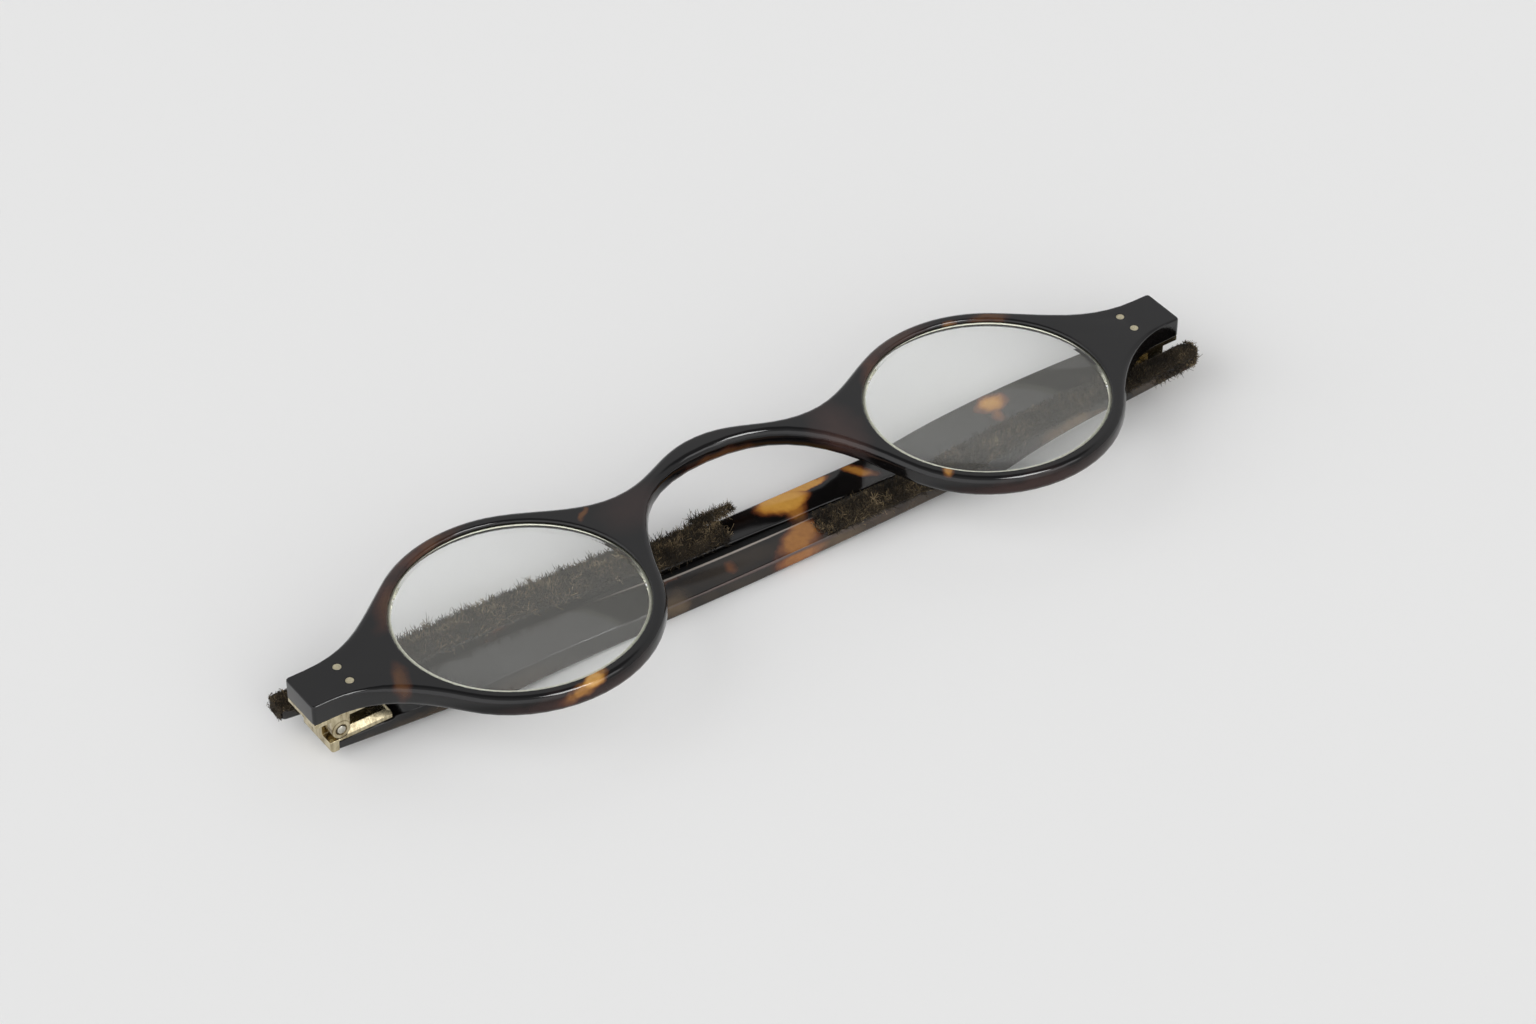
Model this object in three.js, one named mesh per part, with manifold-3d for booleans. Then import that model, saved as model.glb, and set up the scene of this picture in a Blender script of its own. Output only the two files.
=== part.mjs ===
// Tortoiseshell spectacles with riveted hinges and chenille on the sides, in millimetres.
// They lie folded on their bowed sides with the front upward, and the floor is z = 0.
// X runs along the front, Y towards the brow edge of the lenses, and Z up.
import * as THREE from 'three';
import { mergeVertices } from 'three/addons/utils/BufferGeometryUtils.js';
import Module from 'manifold-3d';

const wasm = await Module();
wasm.setup();

// Front plate
const LENS_WIDTH = 31.16; // opening inside the rim
const LENS_HEIGHT = 29.68;
const BRIDGE_GAP = 36.96; // between the two lens openings
const RIM_WIDTH = 1.75;
const FRONT_THICKNESS = 2.8;
const BRIDGE_RISE = 14.18; // brow edge of the bridge above the lens centre line
const BRIDGE_BAND = 3.15; // width of the bridge at its middle
const VALLEY_REACH = 14.28; // from the middle to the dip between bridge and rim
const VALLEY_RISE = 10.27;
const END_PIECE_LENGTH = 11.6; // from the rim to the outer end
const END_PIECE_RISE = 1.3; // middle of the end piece above the lens centre line
const END_PIECE_MARGIN = 0.15; // end piece beyond the hinge on each edge
const END_PIECE_STRAIGHT = 2.5;
const END_PIECE_CORNER = 0.45;
const RIM_ROUNDING = 0.9; // on the outer edges of rims and bridge
const END_ROUNDING = 0.25; // on the edges of the end pieces
const OPENING_ROUNDING = 0.3;

// Places on each rim, as angles, where the outline leaves the oval
const BROW_ANGLE = 52;
const CHEEK_ANGLE = -37.3;
const VALLEY_ANGLE = 107.5;
const NOSE_ANGLE = 198.2;

// How far the handles of the blending curves reach, as shares of their span
const FLANK_HANDLE = 0.347;
const CREST_HANDLE = 0.4;
const NOSE_HANDLE = 0.444;

// Lenses and their grooves
const GROOVE_DEPTH = 0.65;
const GROOVE_WIDTH = 1.3;
const LENS_EDGE_THICKNESS = 1.8;
const LENS_SHOULDER = 0.4; // visible bevel inside the rim
const LENS_FRONT_CROWN = 0.3; // rise of each face at its middle
const LENS_BACK_CROWN = 0.6;
const LENS_LIFT = 0.15; // lens above the middle of the front's thickness
const LENS_RINGS = 3;

// Hinges
const HINGE_WIDTH = 6;
const HINGE_INSET = 3.5; // pin axis from the end of the front
const KNUCKLE_RADIUS = 1.2;
const KNUCKLE_LENGTH = 1.7;
const PIN_RADIUS = 0.6;
const PIN_CROWN = 0.12;
const PIN_CROWN_RADIUS = 0.42;
const FRONT_LEAF_THICKNESS = 0.6;
const FRONT_LEAF_REACH = 5.8; // from the pin axis
const SIDE_LEAF_REACH = 6.7;
const STOP_DISTANCE = 1.6; // butt face from the pin axis
const CAP_THICKNESS = 1.2;
const CAP_CORNER = 0.6;
const SIDE_LEAF_THICKNESS = 1.15;
const SIDE_LEAF_FLOOR = 0.3; // metal left under the knuckles
const SIDE_LEAF_BEVEL = 0.65;
const RIVET_RADIUS = 0.52;
const RIVET_SPACING = 2.8;
const FRONT_RIVET_REACH = 2.4; // from the pin axis
const SIDE_RIVET_REACH = 3.6;
const SIDE_RIVET_GRIP = 0.6; // how far the side rivets enter their leaf

// Sides
const SIDE_LENGTH = 122.7; // pin axis to tip
const SIDE_END_THICKNESS = 1.25; // under the hinge leaf
const SIDE_THICKNESS = 2;
const TIP_THICKNESS = 1.5;
const TIP_WIDTH = 2.9;
const TIP_ROUNDING = 0.6;
const TAPER_FROM = 64; // where the side starts to thin towards its tip
const SIDE_CORNER = 0.3;
const BOW_DEPTH = 1.76; // rise of the hinge end above the lowest point
const BOW_POWER = 1.8; // how the underside climbs from there to the tip
const LEFT_LOW_AT = 46.2; // lowest point of each side, from the pin axis
const RIGHT_LOW_AT = 56;
const RIGHT_TIP_RISE = 2.6;
const LEFT_SPLAY = 0.051; // sideways slope of each side at its hinge
const RIGHT_SPLAY = 0.095;
const LEFT_MIDWAY = 2.69; // sideways reach of each side, halfway to the other hinge
const RIGHT_MIDWAY = 3.2;
const SIDE_STATIONS = 30;

// Chenille
const LEFT_CHENILLE_FROM = 67; // start of each strip, from the pin axis
const RIGHT_CHENILLE_FROM = 61.5;
const LEFT_PILE = 1.2;
const RIGHT_PILE = 1.9;
const CHENILLE_OVERHANG = 0.15;
const CHENILLE_CHEEK = 0.45; // upright part of the pile's flank, as a share of its height
const CHENILLE_BROW = 0.85;
const CHENILLE_CROWN = 0.7; // width of the pile at its brow, as a share of its full width
const CHENILLE_STATIONS = 16;
const CHENILLE_TIP = 0.8; // padding past the end of the bar

// Clearances
const SEAT_GAP = 0.06; // between pieces that are fixed together
const RUN_GAP = 0.1; // between pieces that turn past each other
const PIN_GAP = 0.05; // round the pin
const LEFT_TIP_GAP = 0.3; // folded tip to the other hinge
const RIGHT_TIP_GAP = 0.7;
const TIP_CLEARANCE = 0.05; // folded pile below the level of the front

// Fineness of the round stretches
const CURVE_STEPS = 10;
const OVAL_STEPS = 60;
const ROUND_STEPS = 3;
const BARREL_STEPS = 12;
const RIVET_STEPS = 14;
const TIP_STEPS = 4;

// Levels and places that follow from the sizes above
const cradleRadius = KNUCKLE_RADIUS + RUN_GAP;
const seatLevel = BOW_DEPTH + SIDE_END_THICKNESS;
const axisLevel = seatLevel + SEAT_GAP + SIDE_LEAF_FLOOR + cradleRadius;
const frontLeafLow = STOP_DISTANCE + RUN_GAP; // above the axis
const frontLow = axisLevel + frontLeafLow + FRONT_LEAF_THICKNESS + SEAT_GAP;
const frontHigh = frontLow + FRONT_THICKNESS;
const lensLevel = (frontLow + frontHigh) / 2 + LENS_LIFT;
const lensCentre = (BRIDGE_GAP + LENS_WIDTH) / 2;
const rimAcross = LENS_WIDTH / 2 + RIM_WIDTH;
const rimUp = LENS_HEIGHT / 2 + RIM_WIDTH;
const frontEnd = lensCentre + rimAcross + END_PIECE_LENGTH;
const axisReach = frontEnd - HINGE_INSET;
const endPieceWidth = HINGE_WIDTH + 2 * END_PIECE_MARGIN;
const sideLeafLow = seatLevel + SEAT_GAP - axisLevel;

// Closed surfaces are collected as triangles of points

function surface(triangles) {
  const geometry = new THREE.BufferGeometry().setFromPoints(triangles);
  return mergeVertices(geometry);
}

// Band of faces between two rings; the rings turn left seen from the first one's side.
function band(triangles, first, second) {
  first.forEach((a, i) => {
    const next = (i + 1) % first.length;
    triangles.push(a, second[i], second[next], a, second[next], first[next]);
  });
}

function fan(triangles, ring) {
  for (let i = 1; i < ring.length - 1; i += 1) {
    triangles.push(ring[0], ring[i], ring[i + 1]);
  }
}

// Solid through a row of convex rings, closed at both ends.
function loft(rings) {
  const triangles = [];
  fan(triangles, rings[0]);
  for (let i = 1; i < rings.length; i += 1) {
    band(triangles, rings[i - 1], rings[i]);
  }
  fan(triangles, rings[rings.length - 1].toReversed());
  return surface(triangles);
}

function solid(geometry) {
  const bare = geometry.clone();
  bare.deleteAttribute('normal');
  bare.deleteAttribute('uv');
  const welded = mergeVertices(bare);
  return new wasm.Manifold(new wasm.Mesh({
    numProp: 3,
    vertProperties: new Float32Array(welded.attributes.position.array),
    triVerts: new Uint32Array(welded.index.array),
  }));
}

function shell(manifold) {
  const mesh = manifold.getMesh();
  const geometry = new THREE.BufferGeometry();
  geometry.setAttribute('position', new THREE.BufferAttribute(mesh.vertProperties, 3));
  geometry.setIndex(new THREE.BufferAttribute(mesh.triVerts, 1));
  return geometry;
}

function piece(name, geometry, material) {
  geometry.computeVertexNormals();
  const mesh = new THREE.Mesh(geometry, material.clone());
  mesh.name = name;
  return mesh;
}

const tortoiseshell = new THREE.MeshStandardMaterial({ color: 0x2b1a12, roughness: 0.2 });
const glass = new THREE.MeshStandardMaterial({
  color: 0xdfe6e0, roughness: 0.05, transparent: true, opacity: 0.35,
});
const brass = new THREE.MeshStandardMaterial({ color: 0xc9bd95, roughness: 0.35, metalness: 1 });
const chenille = new THREE.MeshStandardMaterial({ color: 0x3f3422, roughness: 1 });

// Front plate: its outline runs clockwise from the top of the bridge along the right half

function rimPoint(degrees) {
  const angle = THREE.MathUtils.degToRad(degrees);
  return new THREE.Vector2(lensCentre + rimAcross * Math.cos(angle), rimUp * Math.sin(angle));
}

function rimHeading(degrees) {
  const angle = THREE.MathUtils.degToRad(degrees);
  return new THREE.Vector2(rimAcross * Math.sin(angle), -rimUp * Math.cos(angle)).normalize();
}

function blend(path, heading, end, endHeading, handle) {
  const start = path.currentPoint.clone();
  const reach = handle * start.distanceTo(end);
  const leave = start.clone().addScaledVector(heading, reach);
  const arrive = end.clone().addScaledVector(endHeading, -reach);
  path.bezierCurveTo(leave.x, leave.y, arrive.x, arrive.y, end.x, end.y);
}

function rimArc(path, from, to) {
  const start = THREE.MathUtils.degToRad(from);
  const end = THREE.MathUtils.degToRad(to);
  path.absellipse(lensCentre, 0, rimAcross, rimUp, start, end, true);
}

// Small corner of the end piece; turn is the way from its edge to the middle of the end.
function endCorner(path, edge, turn) {
  const cut = END_PIECE_CORNER * (1 - Math.SQRT1_2);
  const before = [frontEnd - END_PIECE_CORNER, edge];
  const after = [frontEnd, edge + turn * END_PIECE_CORNER];
  const ordered = turn < 0 ? [before, after] : [after, before];
  path.lineTo(...ordered[0]);
  path.lineTo(frontEnd - cut, edge + turn * cut);
  path.lineTo(...ordered[1]);
}

function halfOutline() {
  const outward = new THREE.Vector2(1, 0);
  const inward = new THREE.Vector2(-1, 0);
  const high = END_PIECE_RISE + endPieceWidth / 2;
  const low = END_PIECE_RISE - endPieceWidth / 2;
  const shoulder = frontEnd - END_PIECE_STRAIGHT;
  const path = new THREE.Path();
  path.moveTo(0, BRIDGE_RISE);
  blend(path, outward, new THREE.Vector2(VALLEY_REACH, VALLEY_RISE), outward, CREST_HANDLE);
  blend(path, outward, rimPoint(VALLEY_ANGLE), rimHeading(VALLEY_ANGLE), FLANK_HANDLE);
  rimArc(path, VALLEY_ANGLE, BROW_ANGLE);
  blend(path, rimHeading(BROW_ANGLE), new THREE.Vector2(shoulder, high), outward, FLANK_HANDLE);
  endCorner(path, high, -1);
  endCorner(path, low, 1);
  path.lineTo(shoulder, low);
  blend(path, inward, rimPoint(CHEEK_ANGLE), rimHeading(CHEEK_ANGLE), FLANK_HANDLE);
  rimArc(path, CHEEK_ANGLE, NOSE_ANGLE - 360);
  const underBridge = new THREE.Vector2(0, BRIDGE_RISE - BRIDGE_BAND);
  blend(path, rimHeading(NOSE_ANGLE), underBridge, inward, NOSE_HANDLE);
  return path.getPoints(CURVE_STEPS);
}

function withoutRepeats(points) {
  const nearest = 1e-4;
  return points.filter((point, i) => i === 0 || point.distanceTo(points[i - 1]) > nearest);
}

function frontOutline() {
  const right = withoutRepeats(halfOutline());
  const left = right.slice(1, -1).map((point) => new THREE.Vector2(-point.x, point.y));
  return [...left, ...right.toReversed()];
}

// Inward mitre at each corner of a ring that turns left.
function inwardMitres(points) {
  const count = points.length;
  const edgeNormals = points.map((point, i) => {
    const along = points[(i + 1) % count].clone().sub(point).normalize();
    return new THREE.Vector2(-along.y, along.x);
  });
  return edgeNormals.map((normal, i) => {
    const before = edgeNormals[(i + count - 1) % count];
    return normal.clone().add(before).divideScalar(1 + normal.dot(before));
  });
}

function edgeRounding(x) {
  const rimEnd = lensCentre + rimAcross;
  const share = THREE.MathUtils.smoothstep(Math.abs(x), rimEnd, frontEnd - END_PIECE_STRAIGHT);
  return THREE.MathUtils.lerp(RIM_ROUNDING, END_ROUNDING, share);
}

// Rings down the outer wall of the front, rounded over at both faces.
function outerRings() {
  const outline = frontOutline();
  const mitres = inwardMitres(outline);
  const rings = [];
  for (let face = 0; face < 2; face += 1) {
    for (let step = 0; step <= ROUND_STEPS; step += 1) {
      const turn = (face === 0 ? step : ROUND_STEPS - step) / ROUND_STEPS * Math.PI / 2;
      rings.push(outline.map((point, i) => {
        const radius = edgeRounding(point.x);
        const inset = point.clone().addScaledVector(mitres[i], radius * (1 - Math.sin(turn)));
        const drop = radius * (1 - Math.cos(turn));
        const level = face === 0 ? frontHigh - drop : frontLow + drop;
        return new THREE.Vector3(inset.x, inset.y, level);
      }));
    }
  }
  return rings;
}

function ovalRing(centre, across, up, level, steps) {
  const oval = new THREE.EllipseCurve(centre.x, centre.y, across, up);
  return oval.getPoints(steps).slice(0, steps).map((p) => new THREE.Vector3(p.x, p.y, level));
}

// Rings down the wall of a lens opening, with the groove that holds the lens.
function openingRings(centre) {
  const half = GROOVE_WIDTH / 2;
  const steps = [
    [OPENING_ROUNDING, frontHigh],
    [0, frontHigh - OPENING_ROUNDING],
    [0, lensLevel + half],
    [GROOVE_DEPTH, lensLevel],
    [0, lensLevel - half],
    [0, frontLow + OPENING_ROUNDING],
    [OPENING_ROUNDING, frontLow],
  ];
  return steps.map(([outset, level]) => {
    const across = LENS_WIDTH / 2 + outset;
    const up = LENS_HEIGHT / 2 + outset;
    return ovalRing(centre, across, up, level, OVAL_STEPS);
  });
}

function rivetHoleRings(centre) {
  const radius = RIVET_RADIUS + SEAT_GAP;
  return [frontHigh, frontLow].map((level) => ovalRing(centre, radius, radius, level, RIVET_STEPS));
}

function frontPlate() {
  const outer = outerRings();
  const holes = [];
  for (const side of [-1, 1]) {
    holes.push(openingRings(new THREE.Vector2(side * lensCentre, 0)));
    for (const place of [-0.5, 0.5]) {
      const x = side * (axisReach - FRONT_RIVET_REACH);
      const y = END_PIECE_RISE + place * RIVET_SPACING;
      holes.push(rivetHoleRings(new THREE.Vector2(x, y)));
    }
  }
  const triangles = [];
  for (let i = 1; i < outer.length; i += 1) {
    band(triangles, outer[i - 1], outer[i]);
  }
  for (const rings of holes) {
    for (let i = 1; i < rings.length; i += 1) {
      band(triangles, rings[i - 1].toReversed(), rings[i].toReversed());
    }
  }
  for (const upward of [true, false]) {
    const contour = outer.at(upward ? 0 : -1);
    const edges = holes.map((rings) => rings.at(upward ? 0 : -1).toReversed());
    const points = [contour, ...edges].flat();
    for (const face of THREE.ShapeUtils.triangulateShape(contour, edges)) {
      const corners = face.map((i) => points[i]);
      triangles.push(...(upward ? corners : corners.toReversed()));
    }
  }
  return surface(triangles);
}

// Lens: crowned faces, a visible shoulder and a bevel that lies in the groove
function lensBlank(centre) {
  const ring = (outset, share, level) => {
    const across = (LENS_WIDTH / 2 + outset) * share;
    const up = (LENS_HEIGHT / 2 + outset) * share;
    return ovalRing(centre, across, up, level, OVAL_STEPS);
  };
  const half = LENS_EDGE_THICKNESS / 2;
  const shares = Array.from({ length: LENS_RINGS }, (_, i) => (i + 1) / LENS_RINGS);
  const faceRing = (share, crown, turn) => {
    const height = half + crown * (1 - share * share);
    return ring(-LENS_SHOULDER, share, lensLevel + turn * height);
  };
  return loft([
    ...shares.map((share) => faceRing(share, LENS_FRONT_CROWN, 1)),
    ring(GROOVE_DEPTH - RUN_GAP, 1, lensLevel),
    ...shares.toReversed().map((share) => faceRing(share, LENS_BACK_CROWN, -1)),
  ]);
}

// Hinge pieces lie in the frame of their pin: X towards the middle of the front, Y along the pin

function alongPin(shape, from, to) {
  const options = { depth: to - from, bevelEnabled: false, curveSegments: BARREL_STEPS };
  return new THREE.ExtrudeGeometry(shape, options).rotateX(Math.PI / 2).translate(0, to, 0);
}

function roundRod(radius, from, to) {
  const circle = new THREE.Shape().absarc(0, 0, radius, 0, 2 * Math.PI, false);
  return alongPin(circle, from, to);
}

function block(lowX, highX, lowZ, highZ) {
  const corners = [[lowX, lowZ], [highX, lowZ], [highX, highZ], [lowX, highZ]];
  return new THREE.Shape(corners.map(([x, z]) => new THREE.Vector2(x, z)));
}

function rivetHoles(reach, low, high) {
  const rods = [-0.5, 0.5].map((place) => {
    const rod = new THREE.CylinderGeometry(
      RIVET_RADIUS + SEAT_GAP, RIVET_RADIUS + SEAT_GAP, high - low, RIVET_STEPS,
    );
    rod.rotateX(Math.PI / 2).translate(reach, place * RIVET_SPACING, (low + high) / 2);
    return solid(rod);
  });
  return rods[0].add(rods[1]);
}

function pinHole() {
  const overrun = RUN_GAP;
  const half = HINGE_WIDTH / 2 + overrun;
  return solid(roundRod(PIN_RADIUS + PIN_GAP, -half, half));
}

// Tongue that hangs from the front leaf and wraps the pin.
function frontKnuckle() {
  const root = frontLeafLow + FRONT_LEAF_THICKNESS / 2;
  const shape = new THREE.Shape();
  shape.moveTo(-KNUCKLE_RADIUS, root);
  shape.lineTo(-KNUCKLE_RADIUS, 0);
  shape.absarc(0, 0, KNUCKLE_RADIUS, Math.PI, 2 * Math.PI, false);
  shape.lineTo(KNUCKLE_RADIUS, root);
  return shape;
}

function frontLeaf() {
  const half = HINGE_WIDTH / 2;
  const high = frontLeafLow + FRONT_LEAF_THICKNESS;
  const outer = END_PIECE_MARGIN - HINGE_INSET;
  const plate = solid(alongPin(block(outer, FRONT_LEAF_REACH, frontLeafLow, high), -half, half));
  const lower = solid(alongPin(frontKnuckle(), -half, KNUCKLE_LENGTH - half));
  const upper = solid(alongPin(frontKnuckle(), half - KNUCKLE_LENGTH, half));
  const holes = rivetHoles(FRONT_RIVET_REACH, frontLeafLow - RUN_GAP, high + RUN_GAP);
  return shell(plate.add(lower).add(upper).subtract(pinHole()).subtract(holes));
}

// Butt cap and the floor under the knuckles, seen along the pin.
function buttCap() {
  const low = -axisLevel + BOW_DEPTH;
  const inner = CAP_THICKNESS - STOP_DISTANCE;
  const shape = new THREE.Shape();
  shape.moveTo(-STOP_DISTANCE, -cradleRadius);
  shape.lineTo(-STOP_DISTANCE, low + CAP_CORNER);
  shape.absarc(CAP_CORNER - STOP_DISTANCE, low + CAP_CORNER, CAP_CORNER, Math.PI, 1.5 * Math.PI, false);
  shape.lineTo(inner, low);
  shape.lineTo(inner, sideLeafLow);
  shape.lineTo(cradleRadius, sideLeafLow);
  shape.lineTo(cradleRadius, -cradleRadius);
  return shape;
}

// Middle knuckle, with the part of the cap that meets the front leaf when the side is open.
function sideKnuckle() {
  const root = -cradleRadius - SIDE_LEAF_FLOOR / 2;
  const shape = new THREE.Shape();
  shape.moveTo(-STOP_DISTANCE, root);
  shape.lineTo(KNUCKLE_RADIUS, root);
  shape.lineTo(KNUCKLE_RADIUS, 0);
  shape.absarc(0, 0, KNUCKLE_RADIUS, 0, Math.PI, false);
  shape.lineTo(-STOP_DISTANCE, 0);
  return shape;
}

// Ring across the side leaf with its upper edges bevelled.
function leafRing(x, halfWidth, height, bevel) {
  const high = sideLeafLow + height;
  const corners = [
    [halfWidth, sideLeafLow], [-halfWidth, sideLeafLow], [-halfWidth, high - bevel],
    [bevel - halfWidth, high], [halfWidth - bevel, high], [halfWidth, high - bevel],
  ];
  return corners.map(([y, z]) => new THREE.Vector3(x, y, z));
}

function sideLeaf() {
  const half = HINGE_WIDTH / 2;
  const bevelFrom = SIDE_LEAF_REACH - SIDE_LEAF_BEVEL;
  const plate = solid(loft([
    leafRing(0, half, SIDE_LEAF_THICKNESS, SIDE_LEAF_BEVEL),
    leafRing(bevelFrom, half, SIDE_LEAF_THICKNESS, SIDE_LEAF_BEVEL),
    leafRing(SIDE_LEAF_REACH, half, SIDE_LEAF_THICKNESS - SIDE_LEAF_BEVEL / 2, SIDE_LEAF_BEVEL / 2),
  ]));
  const cradle = solid(roundRod(cradleRadius, -half - RUN_GAP, half + RUN_GAP));
  const middle = half - KNUCKLE_LENGTH - RUN_GAP;
  const cap = solid(alongPin(buttCap(), -half, half));
  const knuckle = solid(alongPin(sideKnuckle(), -middle, middle));
  const gripTop = sideLeafLow + SIDE_RIVET_GRIP + SEAT_GAP;
  const holes = rivetHoles(SIDE_RIVET_REACH, sideLeafLow - RUN_GAP, gripTop);
  const body = plate.add(cap).subtract(cradle).add(knuckle);
  return shell(body.subtract(pinHole()).subtract(holes));
}

function lathe(profile, steps) {
  return new THREE.LatheGeometry(profile.map(([r, h]) => new THREE.Vector2(r, h)), steps);
}

function hingePin() {
  const half = HINGE_WIDTH / 2;
  const profile = [
    [0, -half - PIN_CROWN], [PIN_CROWN_RADIUS, -half - PIN_CROWN], [PIN_RADIUS, -half],
    [PIN_RADIUS, half], [PIN_CROWN_RADIUS, half + PIN_CROWN], [0, half + PIN_CROWN],
  ];
  return lathe(profile, 2 * BARREL_STEPS);
}

function rivet(reach, place, low, high) {
  const profile = [[0, low], [RIVET_RADIUS, low], [RIVET_RADIUS, high], [0, high]];
  return lathe(profile, RIVET_STEPS).rotateX(Math.PI / 2).translate(reach, place * RIVET_SPACING, 0);
}

// Side bar: its underside bows down between hinge and tip, and it splays away from the other side

const farHinge = 2 * axisReach;
const tipReach = (HINGE_WIDTH + TIP_WIDTH) / 2 + CHENILLE_OVERHANG;
const roundFrom = SIDE_LENGTH - TIP_ROUNDING;
const sides = {
  left: {
    slope: LEFT_SPLAY,
    midway: LEFT_MIDWAY,
    reach: tipReach + LEFT_TIP_GAP,
    lowAt: LEFT_LOW_AT,
    tipRise: frontLow - TIP_CLEARANCE - LEFT_PILE - SEAT_GAP - TIP_THICKNESS,
    chenilleFrom: LEFT_CHENILLE_FROM,
    pileHeight: LEFT_PILE,
    upward: 1,
  },
  right: {
    slope: RIGHT_SPLAY,
    midway: RIGHT_MIDWAY,
    reach: tipReach + RIGHT_TIP_GAP,
    lowAt: RIGHT_LOW_AT,
    tipRise: RIGHT_TIP_RISE,
    chenilleFrom: RIGHT_CHENILLE_FROM,
    pileHeight: RIGHT_PILE,
    upward: -1,
  },
};

// Sideways place of a side: a gentle curve through its hinge, its middle and the other hinge.
function splay(s, { slope, midway, reach }) {
  const half = farHinge / 2;
  const cubic = (reach + 2 * slope * half - 4 * midway) / (4 * half ** 3);
  const square = (midway - slope * half) / half ** 2 - cubic * half;
  return -s * (slope + s * (square + s * cubic));
}

function underside(s, { lowAt, tipRise }) {
  if (s <= lowAt) {
    return BOW_DEPTH * (1 - s / lowAt) ** 2 - axisLevel;
  }
  const share = (s - lowAt) / (SIDE_LENGTH - lowAt);
  return tipRise * share ** BOW_POWER - axisLevel;
}

function sideWidth(s) {
  return THREE.MathUtils.lerp(HINGE_WIDTH, TIP_WIDTH, s / SIDE_LENGTH);
}

function sideThickness(s) {
  const taper = THREE.MathUtils.smoothstep(s, TAPER_FROM, SIDE_LENGTH);
  return THREE.MathUtils.lerp(SIDE_THICKNESS, TIP_THICKNESS, taper);
}

// Ring across the bar with rounded corners, seen from the hinge.
function barRing(s, middle, halfWidth, low, high) {
  const radius = Math.min(SIDE_CORNER, halfWidth / 2);
  const ring = [];
  for (const [across, up, from] of [[1, -1, 0], [-1, -1, 1], [-1, 1, 2], [1, 1, 3]]) {
    for (const step of [0, 0.5, 1]) {
      const turn = -(from + step) * Math.PI / 2;
      const y = across * (halfWidth - radius) + radius * Math.cos(turn);
      const z = (up > 0 ? high - radius : low + radius) + radius * Math.sin(turn);
      ring.push(new THREE.Vector3(s, middle + y, z));
    }
  }
  return ring;
}

function temple(form) {
  const butt = CAP_THICKNESS - STOP_DISTANCE + SEAT_GAP;
  const seatEnd = SIDE_LEAF_REACH + SEAT_GAP;
  const seat = seatLevel - axisLevel;
  const ringTo = (s, trim, high) => {
    const halfWidth = sideWidth(s) / 2 - trim;
    return barRing(s, splay(s, form), halfWidth, underside(s, form), high);
  };
  const faceAt = (s) => underside(s, form) + sideThickness(s);
  const rings = [butt, seatEnd].map((s) => ringTo(s, 0, seat));
  for (let i = 0; i <= SIDE_STATIONS; i += 1) {
    const s = THREE.MathUtils.lerp(seatEnd + SIDE_CORNER, roundFrom, i / SIDE_STATIONS);
    rings.push(ringTo(s, 0, faceAt(s)));
  }
  for (let i = 1; i <= TIP_STEPS; i += 1) {
    const turn = i / TIP_STEPS * Math.PI / 2;
    const s = roundFrom + TIP_ROUNDING * Math.sin(turn);
    rings.push(ringTo(s, TIP_ROUNDING * (1 - Math.cos(turn)), faceAt(s)));
  }
  const low = underside(0, form) - SIDE_THICKNESS;
  return shell(solid(loft(rings)).subtract(rivetHoles(SIDE_RIVET_REACH, low, seat + RUN_GAP)));
}

// Ring across the chenille: flat below, domed above the face that it pads.
function pileRing(s, middle, halfWidth, low, face, pile) {
  const cheek = face + CHENILLE_CHEEK * pile;
  const brow = face + CHENILLE_BROW * pile;
  const corners = [
    [1, low], [-1, low], [-1, cheek], [-CHENILLE_CROWN, brow],
    [0, face + pile], [CHENILLE_CROWN, brow], [1, cheek],
  ];
  return corners.map(([y, z]) => new THREE.Vector3(s, middle + y * halfWidth, z));
}

// Strip along the inner face of a side, which turns down over the end of its tip.
function chenilleStrip(form) {
  const end = SIDE_LENGTH + SEAT_GAP;
  const rings = [];
  const addRing = (s, turnedDown) => {
    const past = Math.max(0, s - roundFrom) / (end + CHENILLE_TIP - roundFrom);
    const narrowing = Math.cos(past * CHENILLE_CROWN * Math.PI / 2);
    const face = underside(s, form) + sideThickness(s) + SEAT_GAP;
    const low = turnedDown ? underside(SIDE_LENGTH, form) : face;
    const halfWidth = (sideWidth(s) / 2 + CHENILLE_OVERHANG) * narrowing;
    const pile = form.pileHeight * narrowing;
    rings.push(pileRing(s, splay(s, form), halfWidth, low, face, pile));
  };
  for (let i = 0; i <= CHENILLE_STATIONS; i += 1) {
    addRing(THREE.MathUtils.lerp(form.chenilleFrom, roundFrom, i / CHENILLE_STATIONS), false);
  }
  addRing(end, false);
  for (let i = 0; i < TIP_STEPS; i += 1) {
    addRing(THREE.MathUtils.lerp(end + SEAT_GAP / 2, end + CHENILLE_TIP, i / (TIP_STEPS - 1)), true);
  }
  return loft(rings);
}

// One hinge with the side that it carries, in the frame of its pin
function sideAssembly(side) {
  const group = new THREE.Group();
  const form = sides[side];
  const frontFace = frontHigh - axisLevel;
  const gripTop = sideLeafLow + SIDE_RIVET_GRIP;
  const sideLow = underside(SIDE_RIVET_REACH, form);
  group.add(
    piece(`${side}_front_hinge_leaf`, frontLeaf(), brass),
    piece(`${side}_side_hinge_leaf`, sideLeaf(), brass),
    piece(`${side}_hinge_pin`, hingePin(), brass),
    piece(`${side}_temple`, temple(form), tortoiseshell),
    piece(`${side}_chenille_strip`, chenilleStrip(form), chenille),
  );
  for (const [level, place] of [['upper', form.upward / 2], ['lower', -form.upward / 2]]) {
    const front = rivet(FRONT_RIVET_REACH, place, frontLeafLow, frontFace);
    const through = rivet(SIDE_RIVET_REACH, place, sideLow, gripTop);
    group.add(piece(`${side}_front_rivet_${level}`, front, brass));
    group.add(piece(`${side}_side_rivet_${level}`, through, brass));
  }
  return group;
}

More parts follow.
